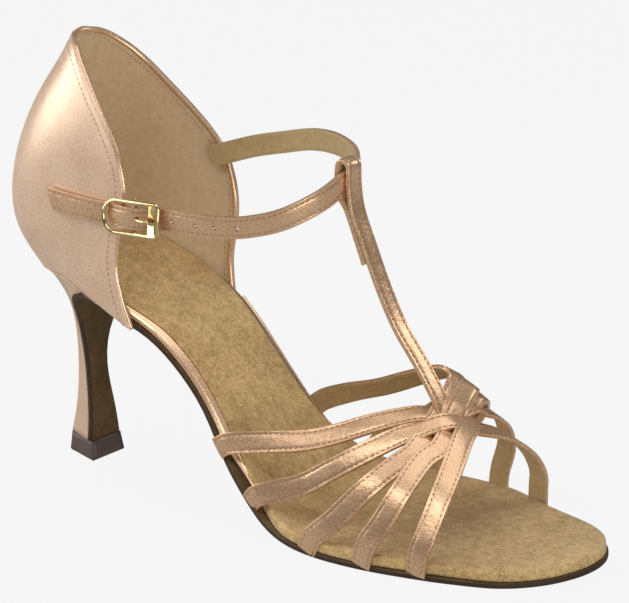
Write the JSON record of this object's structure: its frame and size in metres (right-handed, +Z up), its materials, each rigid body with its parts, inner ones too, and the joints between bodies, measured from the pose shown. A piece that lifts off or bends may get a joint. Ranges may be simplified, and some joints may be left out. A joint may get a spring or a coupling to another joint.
{
  "type": "ballroom dance shoe",
  "caption": "Open-toed satin ballroom dance sandal for the right foot: flared high heel, closed counter, woven vamp straps, T-bar and buckled ankle strap.",
  "frame": {"origin": "on the floor, under the middle of the heel tip", "axes": "+X forward along the sole from heel to toe, +Y to the inner side of the foot, away from the buckle, +Z up from the floor"},
  "size_m": [0.2205, 0.0786, 0.142],
  "materials": {
    "satin": "peach satin with a soft sheen",
    "heel_satin": "peach satin stretched over the heel",
    "board_satin": "peach satin wrapped over the insole's edge",
    "sole_suede": "dark brown suede, black-brown edge",
    "sock_suede": "olive-tan suede with a mottled nap",
    "tip_plastic": "dark brown, slightly worn",
    "gold": "polished pale gold plate"
  },
  "bodies": {
    "root": {"outsole": "sole_suede", "heel_block": "heel_satin", "heel_tip": "tip_plastic", "insole_board": "board_satin", "insole_sock": "sock_suede", "quarter": "satin", "upper_straps": "satin", "ankle_strap": "satin", "buckle_frame": "gold", "buckle_prong": "gold", "buckle_tab": "satin"}
  },
  "joints": []
}
